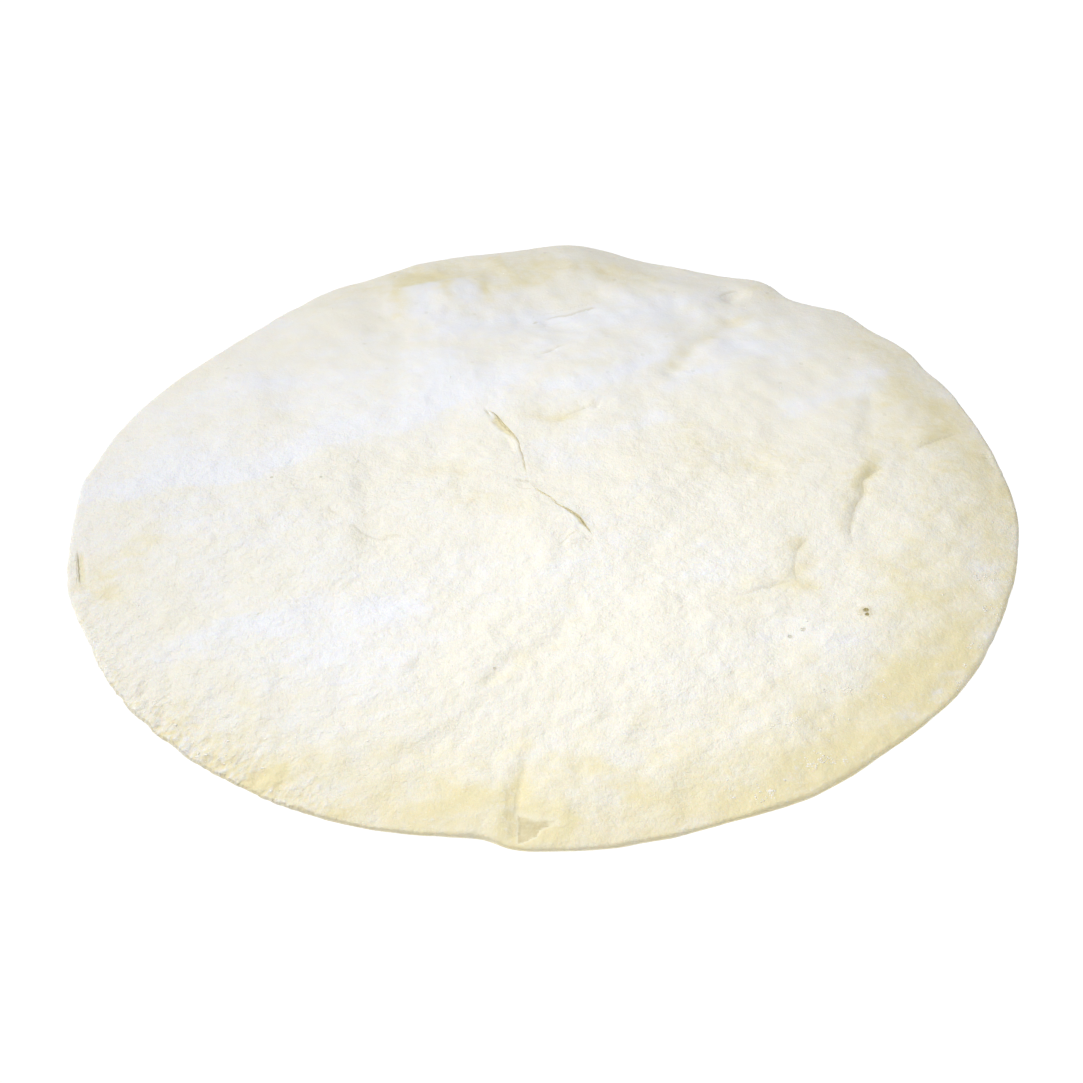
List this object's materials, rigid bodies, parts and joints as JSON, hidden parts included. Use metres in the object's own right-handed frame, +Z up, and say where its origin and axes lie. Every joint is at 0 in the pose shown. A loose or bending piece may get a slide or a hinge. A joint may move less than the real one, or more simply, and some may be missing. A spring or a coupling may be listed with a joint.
{
  "type": "pizza base",
  "caption": "Round hand-stretched base of raw dough, dusted with flour, with an uneven edge, soft creases and a torn slit near the middle.",
  "frame": {"origin": "middle of the flat underside, at the centre of the round's box", "axes": "+Z up through the dough, -Y towards the near edge with the pleat, +X to the viewer's right"},
  "size_m": [0.3018, 0.3042, 0.0076],
  "materials": {
    "dough": "matte"
  },
  "bodies": {
    "root": {"dough_disc": "dough"}
  },
  "joints": []
}
